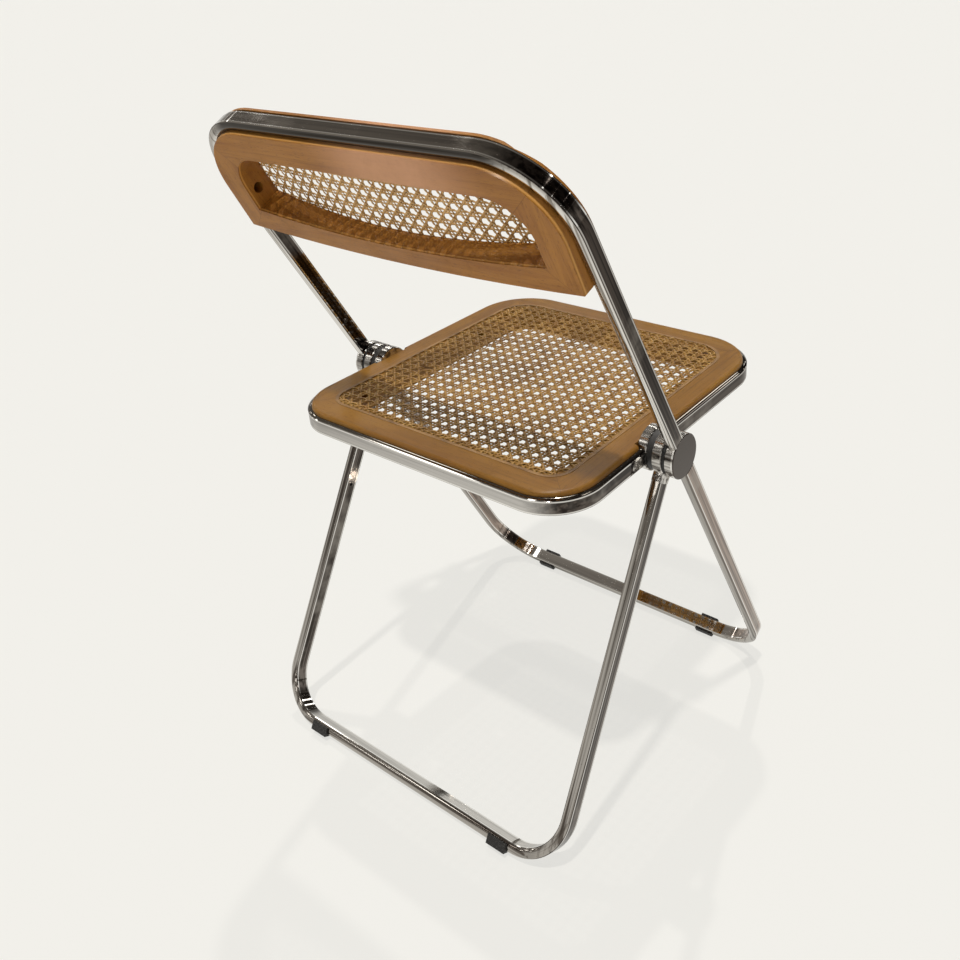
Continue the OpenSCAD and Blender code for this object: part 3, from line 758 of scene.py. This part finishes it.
@dataclass
class CaneWeave:
    """Chair cane in six directions, woven from one repeated cell.

    Two strands run each way between the holes, pair away from the cell's sides,
    and the diagonals cut its corners. diagonal_shares are a diagonal's points,
    as shares of its way along and of its lift.
    """

    pitch: float = 14.05 * MM
    pair: float = 2.1 * MM
    strand_w: float = 2.35 * MM
    strand_t: float = 0.85 * MM
    diagonal_w: float = 2.5 * MM
    lift: float = 0.45 * MM
    diagonal_lift: float = 0.85 * MM
    diagonal_shares: tuple[tuple[float, float], ...] = (
        (0.0, 1.0), (0.36, 0.75), (0.64, -0.75), (1.0, -1.0))
    merge: float = 0.02 * MM

    def _strand(self, start: Vector, width: float, steps: Sequence[Vector]) -> None:
        """Extrudes one open-ended strand.

        Args:
            start: Where it starts.
            width: Its width.
            steps: The moves from each of its points to the next.
        """
        total = sum(steps, Vector())
        yaw = math.atan2(total.y, total.x) - math.pi / 2
        bpy.ops.mesh.select_all(action="DESELECT")
        bpy.ops.mesh.primitive_circle_add(
            vertices=4, radius=width / 2, fill_type="NOTHING", location=start,
            rotation=(math.pi / 2, 0.0, yaw))
        bpy.ops.transform.resize(value=(1.0, 1.0, self.strand_t / width), center_override=start)
        for step in steps:
            bpy.ops.mesh.extrude_edges_move(TRANSFORM_OT_translate={"value": step})

    def _through(self, points: Sequence[Point], width: float) -> None:
        """Runs a strand of a width through points."""
        places = [Vector(point) for point in points]
        self._strand(places[0], width, [b - a for a, b in zip(places, places[1:])])

    def cell(self, name: str) -> bpy.types.Object:
        """Makes one cell of the weave, about the middle of its hole.

        Args:
            name: The object's name.

        Returns:
            The object.
        """
        piece = Shop.empty(name)
        half, side, rise = self.pitch / 2, self.pitch / 2 - self.pair, self.lift
        heights = ((-half, 0.0), (-side, rise), (0.0, 0.0), (side, -rise), (half, 0.0))
        for sign in (-1, 1):
            self._through([(sign * side, y, -sign * z) for y, z in heights], self.strand_w)
            self._through([(x, sign * side, sign * z) for x, z in heights], self.strand_w)
        for x, y, over in ((half, half, 1), (-half, -half, 1), (half, -half, -1), (-half, half, -1)):
            rise = over * self.diagonal_lift
            points = [(x * (1 - t), y * t, rise * z) for t, z in self.diagonal_shares]
            self._through(points, self.diagonal_w)
        bpy.ops.object.mode_set(mode="OBJECT")
        return piece

    def sheet(self, name: str, columns: int, rows: int,
              first: tuple[float, float]) -> bpy.types.Object:
        """Repeats the cell.

        Args:
            name: The piece's name.
            columns: Cells across.
            rows: Cells along.
            first: The middle of the first cell.

        Returns:
            The sheet, in object mode.
        """
        piece = self.cell(name)
        for count, axis in ((columns, 0), (rows, 1)):
            offset = [0.0, 0.0, 0.0]
            offset[axis] = self.pitch
            Shop.modify(
                piece, "ARRAY", count=count, use_relative_offset=False,
                use_constant_offset=True, constant_offset_displace=offset)
        Shop.settle(piece, Matrix.Translation((*first, 0.0)))
        bpy.ops.object.mode_set(mode="EDIT")
        bpy.ops.mesh.select_all(action="SELECT")
        bpy.ops.mesh.remove_doubles(threshold=self.merge)
        bpy.ops.object.mode_set(mode="OBJECT")
        return piece

    @staticmethod
    def trim(piece: bpy.types.Object, outside: Callable[[Vector], bool]) -> None:
        """Deletes what lies outside an outline and closes the cut strands.

        Args:
            piece: The sheet.
            outside: A function that is true at a place outside.
        """
        Shop.pick(piece, outside)
        bpy.ops.mesh.delete(type="VERT")
        bpy.ops.mesh.select_all(action="DESELECT")
        bpy.ops.mesh.select_non_manifold()
        bpy.ops.mesh.fill_holes(sides=8)
        bpy.ops.mesh.select_all(action="SELECT")
        bpy.ops.mesh.normals_make_consistent(inside=False)
        bpy.ops.object.mode_set(mode="OBJECT")
        Shop.take(piece)
        bpy.ops.object.shade_smooth()


def outside_rounded(place: Vector, half: float, low: float, high: float,
                    radius: tuple[float, float]) -> bool:
    """Tells whether a place lies outside a rounded rectangle.

    Args:
        place: The place.
        half: Half the width.
        low: The least Y.
        high: The greatest Y.
        radius: The corners' radii at the low and the high end.

    Returns:
        True outside.
    """
    x, y = abs(place.x), place.y
    if x > half or y < low or y > high:
        return True
    for r, inward in ((radius[0], low + radius[0] - y), (radius[1], y - high + radius[1])):
        if inward > 0 and x > half - r and math.hypot(x - half + r, inward) > r:
            return True
    return False


def ride(piece: bpy.types.Object, body: Body, slot: str, *nodes: str) -> None:
    """Puts a piece on its body and hides what it stands for.

    Args:
        piece: The piece.
        body: The body it rides on.
        slot: A material slot's name; not used.
        nodes: The CAD nodes that it replaces.
    """
    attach(piece, body.value)
    if nodes:
        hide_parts(*nodes)
    LOG.info("%s: %d faces on %s", piece.name, len(piece.data.polygons), body.value)


def dress(material: bpy.types.Material, *nodes: str) -> None:
    """Gives nodes a material in place of what they came with.

    Args:
        material: The material.
        nodes: The nodes' names.
    """
    for name in nodes:
        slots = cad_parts[name].data.materials
        slots.clear()
        slots.append(material)
        LOG.info("%s: %s", name, material.name)


@dataclass
class SeatDressing:
    """The seat's cane and wood.

    A hole of the weave lies at hole_x, hole_y. The weave has reach cells from
    it to each side, and front_more more than that to the front. Each torn place
    is its X and Y and how far the tear reaches.
    """

    half: float = 202.0 * MM
    back: float = 164.0 * MM
    front: float = 266.0 * MM
    rear_r: float = 60.0 * MM
    front_r: float = 76.0 * MM
    inset: float = 35.0 * MM
    cane_level: float = 14.3 * MM
    hole_x: float = -4.2 * MM
    hole_y: float = 1.3 * MM
    reach: int = 13
    front_more: int = 4
    torn: tuple[Point, ...] = ((0.128, 0.006, 0.004), (0.121, 0.018, 0.003), (0.1, -0.085, 0.003))
    weave: CaneWeave = field(default_factory=lambda: CaneWeave(
        strand_w=3.0 * MM, strand_t=1.0 * MM, diagonal_w=3.3 * MM))

    def cane(self) -> bpy.types.Object:
        """Weaves the seat's cane, trims it to the groove and tears a few strands.

        Returns:
            The piece.
        """
        step = self.weave.pitch
        columns = 2 * self.reach + 1
        front = self.reach + self.front_more
        first = (self.hole_x - self.reach * step, self.hole_y - front * step)
        piece = self.weave.sheet("seat_weave", columns, columns + 1, first)

        def outside(place: Vector) -> bool:
            """True beyond the groove, or where strands are torn."""
            torn = any(math.hypot(place.x - x, place.y - y) < r for x, y, r in self.torn)
            return torn or outside_rounded(
                place, self.half - self.inset, self.inset - self.front, self.back - self.inset,
                (self.front_r - self.inset, self.rear_r - self.inset))

        self.weave.trim(piece, outside)
        Shop.settle(piece, PLAN.place(Body.SEAT) @ Matrix.Translation((0.0, 0.0, self.cane_level)))
        return piece

    def build(self) -> None:
        """Makes the seat's pieces and dresses its nodes."""
        cane = self.cane()
        cane.data.materials.append(Cane().material("seat_cane_weave", Body.SEAT))
        ride(cane, Body.SEAT, "cane", "seat_cane")
        middle = (0.0, (self.back - self.front) / 2, 0.0)
        reach = (self.half, (self.back + self.front) / 2)
        dress(Beech().material("seat_beech", Body.SEAT, middle, reach), "seat_frame")


@dataclass
class BackDressing:
    """The back's bowed cane, its wood frame and the thin tongues in its corners.

    A hole of the weave lies at hole_x, hole_y, and the weave starts before
    cells from it. The wood reaches wood_reach from wood_y, and its rear face,
    at rear, leans by lean_deg. A painted highlight runs along its rounded rear
    corners, between two depths just off that face.
    """

    pocket_half: float = 192.0 * MM
    low: float = 282.0 * MM
    high: float = 367.0 * MM
    lap: float = 8.0 * MM
    bow_r: float = 1740.0 * MM
    bow_front: float = 1.0 * MM
    glue: float = 0.9 * MM
    corner_r: float = 1.0 * MM
    hole_x: float = -129.1 * MM
    hole_y: float = 311.9 * MM
    before: tuple[int, int] = (5, 3)
    cells: tuple[int, int] = (29, 8)
    wood_y: float = 329.5 * MM
    wood_reach: tuple[float, float] = (224.0 * MM, 69.5 * MM)
    lean_deg: float = 3.294
    rear: float = -18.0 * MM
    # The depths, from the rear face, of the painted highlight band.
    wear_and_highlight: tuple[float, float] = (0.4 * MM, 2.2 * MM)
    # How strong the painted sheen on the top rail is.
    sheen_strength: float = 0.72
    skin: Point = (23.0 * MM, 5.0 * MM, 1.5 * MM)
    skin_at: Point = (169.76 * MM, 398.03 * MM, 9.4 * MM)
    skin_deg: float = 14.7
    skin_round: float = 0.3 * MM
    weave: CaneWeave = field(default_factory=lambda: CaneWeave(pitch=14.4 * MM))

    def skins(self) -> bpy.types.Object:
        """Makes the two thin tongues of the wood's lip over the tube, one in each top corner.

        Returns:
            The piece.
        """
        piece = Shop.empty("back_corner_skins")
        x, y, z = self.skin_at
        for side in (-1, 1):
            bpy.ops.mesh.select_all(action="DESELECT")
            bpy.ops.mesh.primitive_cube_add(
                size=1.0, location=(side * x, y, z), scale=self.skin,
                rotation=(0.0, 0.0, math.radians(-side * self.skin_deg)))
        bpy.ops.object.mode_set(mode="OBJECT")
        Shop.modify(piece, "BEVEL", width=self.skin_round, segments=2)
        Shop.settle(piece, PLAN.place(Body.OUTER))
        return piece

    def cane(self) -> bpy.types.Object:
        """Weaves the back's cane, trims it and bows it over its frame.

        Returns:
            The piece.
        """
        step = self.weave.pitch
        first = (self.hole_x - self.before[0] * step, self.hole_y - self.before[1] * step)
        piece = self.weave.sheet("back_weave", *self.cells, first)
        half = self.pocket_half + self.lap
        self.weave.trim(piece, lambda place: outside_rounded(
            place, half, self.low - self.lap, self.high + self.lap, (self.corner_r, self.corner_r)))
        for vertex in piece.data.vertices:
            vertex.co.z += self.bow_r - math.sqrt(self.bow_r ** 2 - vertex.co.x ** 2)
        lift = Matrix.Translation((0.0, 0.0, self.bow_front + self.glue))
        Shop.settle(piece, PLAN.place(Body.OUTER) @ lift)
        return piece

    def build(self) -> None:
        """Makes the back's pieces and dresses its nodes."""
        cane = self.cane()
        # The back's cane gets paler colours than the seat's: painted lighter to offset the shade on its
        # rear side.
        straw = Cane(light=linear("DDB981"), straw=linear("C09658"), brown=linear("8A6230"))
        cane.data.materials.append(straw.material("back_cane_weave", Body.OUTER))
        ride(cane, Body.OUTER, "cane", "back_cane")
        # A painted highlight along the wood's rounded rear corners.
        slope = math.tan(math.radians(self.lean_deg))
        edge_highlight = (self.rear + self.wear_and_highlight[0], self.rear + self.wear_and_highlight[1], slope)
        beech = Beech(pale=linear("AC762F"), honey=linear("935E23"), deep=linear("6F4214"))
        wood = beech.material(
            "back_beech", Body.OUTER, (0.0, self.wood_y, 0.0), self.wood_reach, (edge_highlight,), self.sheen_strength)
        dress(wood, "back_panel_frame")
        skins = self.skins()
        skins.data.materials.append(wood)
        ride(skins, Body.OUTER, "beech")


@dataclass
class Metalwork:
    """The tubes, hubs, pins and screws, with the washers and glides.

    The floor bars and the ring's rear rail get a paler painted reflection than their tubes. Along a
    frame, the change runs from the first to the second of its two places.
    """

    sides: tuple[str, str] = ("left", "right")
    outer_bar: tuple[float, float] = (-440.0 * MM, -470.0 * MM)
    rear_bar: tuple[float, float] = (400.0 * MM, 440.0 * MM)
    ring_rear: tuple[float, float] = (20.0 * MM, 100.0 * MM)
    ring_leg_x: tuple[float, float] = (150.0 * MM, 185.0 * MM)
    # How pale the painted reflection on the hoop's and the ring's cross rails is.
    hoop_rail: float = 0.9
    ring_rail: float = 0.6

    def pair(self, *stems: str) -> list[str]:
        """Returns the left and the right node of each name."""
        return [f"{stem}_{side}" for stem in stems for side in self.sides]

    def build(self) -> None:
        """Dresses every metal node, the washers and the glides."""
        # The chrome colours below are painted reflections, set darker or paler for each frame's tubes.
        outer = Chrome(dull=linear("5C544E"), dark=linear("2B2623"))
        dress(outer.material("outer_chrome", Body.OUTER, self.outer_bar, self.hoop_rail), "back_hoop")
        front = Chrome(
            dull=linear("A6968B"), dark=linear("6C625B"),
            side_low=linear("67625C"), side_high=linear("A8A49E"))
        dress(front.material("front_chrome", Body.OUTER, self.outer_bar), "front_leg_hoop")
        rear = Chrome(side_low=linear("5F5852"), side_high=linear("A9A49E"))
        dress(rear.material("rear_chrome", Body.REAR, self.rear_bar), "rear_leg_hoop")
        ring = Chrome(
            dull=linear("5A524C"), dark=linear("2F2A27"),
            side_low=linear("3A3531"), side_high=linear("7A746D"), leg_x=self.ring_leg_x)
        dress(ring.material("seat_chrome", Body.SEAT, self.ring_rear, self.ring_rail),
              "seat_ring_front", "seat_ring_rear")
        dress(CastHub().material(), *self.pair("outer_hub", "middle_hub", "inner_hub"))
        dress(DarkSteel().material("dark_steel"), "hoop_screws", "seat_frame_screws",
              *self.pair("pivot_axle", "leg_stop_pin", "seat_stop_pin"))
        plated = DarkSteel(dark=linear("79746E"), wear_and_highlight=linear("C4C0BA"))
        dress(plated.material("plated_steel"), "back_panel_screws", "leg_screws", "hub_rivets")
        dress(Rubber(gloss=0.35).material("black_washer"), *self.pair("outer_washer", "inner_washer"))
        dress(Rubber().material("black_rubber"), *self.pair("rear_glide", "front_glide"))
        dress(Reed().material(), "back_cane_spline", "seat_cane_spline")


@dataclass(frozen=True)
class Lamp:
    """A sun lamp: the way from the chair to it, its strength and its width."""

    name: str
    toward: Point
    strength: float
    spread_deg: float
    colour: Colour = linear("FFFAF4")
    far: float = 3.0

    def hang(self) -> None:
        """Adds the lamp, pointing at the chair."""
        Shop.clear()
        bpy.ops.object.light_add(type="SUN", location=tuple(self.far * v for v in self.toward))
        lamp = bpy.context.object
        lamp.name = self.name
        lamp.rotation_euler = Vector(self.toward).to_track_quat("Z", "Y").to_euler()
        lamp.data.energy = self.strength
        lamp.data.angle = math.radians(self.spread_deg)
        lamp.data.color = self.colour


@dataclass
class Studio:
    """A pale floor, soft light and the camera at the photograph's place.

    The camera sees the pale colour all round. Mirror rays see it near the chair
    and round the horizon, a dimmer floor beyond floor_far, and a dim ceiling
    that shades from gloom to ceiling, with tiles of light in it.
    """

    pale: Colour = linear("F0EFEA")
    ceiling: Colour = linear("928D86")
    gloom: Colour = linear("3E3A36")
    fill: Colour = linear("F1F0EE")
    fill_strength: float = 0.3
    lamps: tuple[Lamp, ...] = (
        Lamp("key_lamp", (-0.08, 0.36, 1.0), 1.8, 2.5),
        Lamp("front_lamp", (0.3, -0.35, 1.0), 1.0, 1.5))
    floor_size: float = 120.0
    floor_glow: float = 0.8
    floor_far: tuple[float, float] = (0.5, 1.5)
    floor_dim: float = 0.8
    least_height: float = 0.05
    horizon: tuple[float, float] = (0.05, 0.3)
    gloom_way: tuple[float, float] = (0.5, 0.35)
    gloom_range: tuple[float, float] = (-0.6, 0.9)
    tiles: tuple[float, float] = (1.7, 1.3)
    tile_shift: float = 40.0
    tile_half: tuple[float, float] = (0.17, 0.11)
    tile_height: tuple[float, float] = (0.25, 0.35)
    tile_light: Colour = (7.0, 6.9, 6.6)
    sensor: float = 36.0
    focal_px: float = 977.7
    centre_px: tuple[float, float] = (534.8, 344.6)
    frame_px: float = 960.0
    eye: Point = (-0.6697, 0.8350, 0.8889)
    azimuth_deg: float = 217.88
    elevation_deg: float = 20.73
    roll_deg: float = -0.68
    clip: tuple[float, float] = (0.01, 300.0)

    def floor(self) -> None:
        """Lays the floor, which shows its own pale colour and keeps shadows."""
        Shop.clear()
        bpy.ops.mesh.primitive_plane_add(size=self.floor_size, location=(0.0, 0.0, 0.0))
        plane = bpy.context.object
        plane.name = "studio_floor"
        bench = Bench("studio_paper")
        place = bench.where()
        _, mirror, seen = bench.rays()
        grain = bench.noise(place, 300.0, 2.0)
        matt = bench.surface(Base_Color=self.pale, Roughness=grain * 0.1 + 0.85, Specular_IOR_Level=0.1)
        away = bench.node("ShaderNodeVectorMath", {"operation": "LENGTH"}, {0: place})
        far = Scalar(bench, away.outputs["Value"]).step(*self.floor_far) * mirror
        shown = bench.blend(far * self.floor_dim, self.pale, self.ceiling)
        glow = bench.node("ShaderNodeEmission", None, {"Color": shown, "Strength": 1.0})
        mixed = bench.node("ShaderNodeMixShader", None, {
            0: seen * self.floor_glow, 1: matt.outputs[0], 2: glow.outputs[0]})
        plane.data.materials.append(bench.finish(mixed))

    def world(self) -> None:
        """Makes the air: pale round the horizon and dark overhead, with an even fill."""
        bench = Bench("studio_air", for_world=True)
        direction = bench.node("ShaderNodeTexCoord").outputs["Generated"]
        east, north, height = bench.split(direction)
        above = height.most(self.least_height)
        across, along = east / above, north / above
        light = across * self.gloom_way[0] + along * self.gloom_way[1]
        room = bench.blend(light.step(*self.gloom_range), self.gloom, self.ceiling)
        room = bench.blend(height.step(*self.horizon), self.pale, room)
        tile_u, tile_v = (
            ((way * tiles + self.tile_shift).fraction() - 0.5).abs().step(*self.tile_half)
            for way, tiles in zip((across, along), self.tiles))
        lit = tile_u * tile_v * height.step(*self.tile_height)
        mirrored = bench.blend(lit, room, self.tile_light)
        camera, _, seen = bench.rays()
        behind = bench.blend(camera, mirrored, self.pale)
        shown = bench.node("ShaderNodeBackground", None, {"Color": behind, "Strength": 1.0})
        fill = bench.node(
            "ShaderNodeBackground", None, {"Color": self.fill, "Strength": self.fill_strength})
        bpy.context.scene.world = bench.finish(bench.node("ShaderNodeMixShader", None, {
            0: seen, 1: fill.outputs[0], 2: shown.outputs[0]}))

    def camera(self) -> None:
        """Sets the camera at the place, turn and framing of the photograph."""
        azimuth, elevation, roll = map(
            math.radians, (self.azimuth_deg, self.elevation_deg, self.roll_deg))
        right = Vector((math.cos(azimuth), math.sin(azimuth), 0.0))
        forward = -Vector((
            math.sin(azimuth) * math.cos(elevation), -math.cos(azimuth) * math.cos(elevation),
            math.sin(elevation)))
        up = right.cross(forward)
        across = right * math.cos(roll) + up * math.sin(roll)
        upward = up * math.cos(roll) - right * math.sin(roll)
        turn = Matrix((across, upward, -forward)).transposed()
        Shop.clear()
        bpy.ops.object.camera_add(location=self.eye, rotation=turn.to_euler())
        camera = bpy.context.object
        camera.name = "photo_camera"
        lens = camera.data
        lens.sensor_fit = "HORIZONTAL"
        lens.sensor_width = self.sensor
        lens.lens = self.sensor * self.focal_px / self.frame_px
        lens.shift_x = (self.frame_px / 2 - self.centre_px[0]) / self.frame_px
        lens.shift_y = (self.centre_px[1] - self.frame_px / 2) / self.frame_px
        lens.dof.use_dof = False
        lens.clip_start, lens.clip_end = self.clip
        bpy.context.scene.camera = camera

    def build(self) -> None:
        """Sets up the floor, the lamps, the air and the camera."""
        self.floor()
        self.world()
        for lamp in self.lamps:
            lamp.hang()
        self.camera()
        bpy.context.scene.view_settings.view_transform = "Standard"


def main() -> None:
    """Dresses the chair and sets the studio."""
    logging.basicConfig(level=logging.INFO, format="%(name)s: %(message)s")
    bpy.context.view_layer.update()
    Studio().build()
    Metalwork().build()
    SeatDressing().build()
    BackDressing().build()
    Shop.clear()


if __name__ == "__main__":
    main()
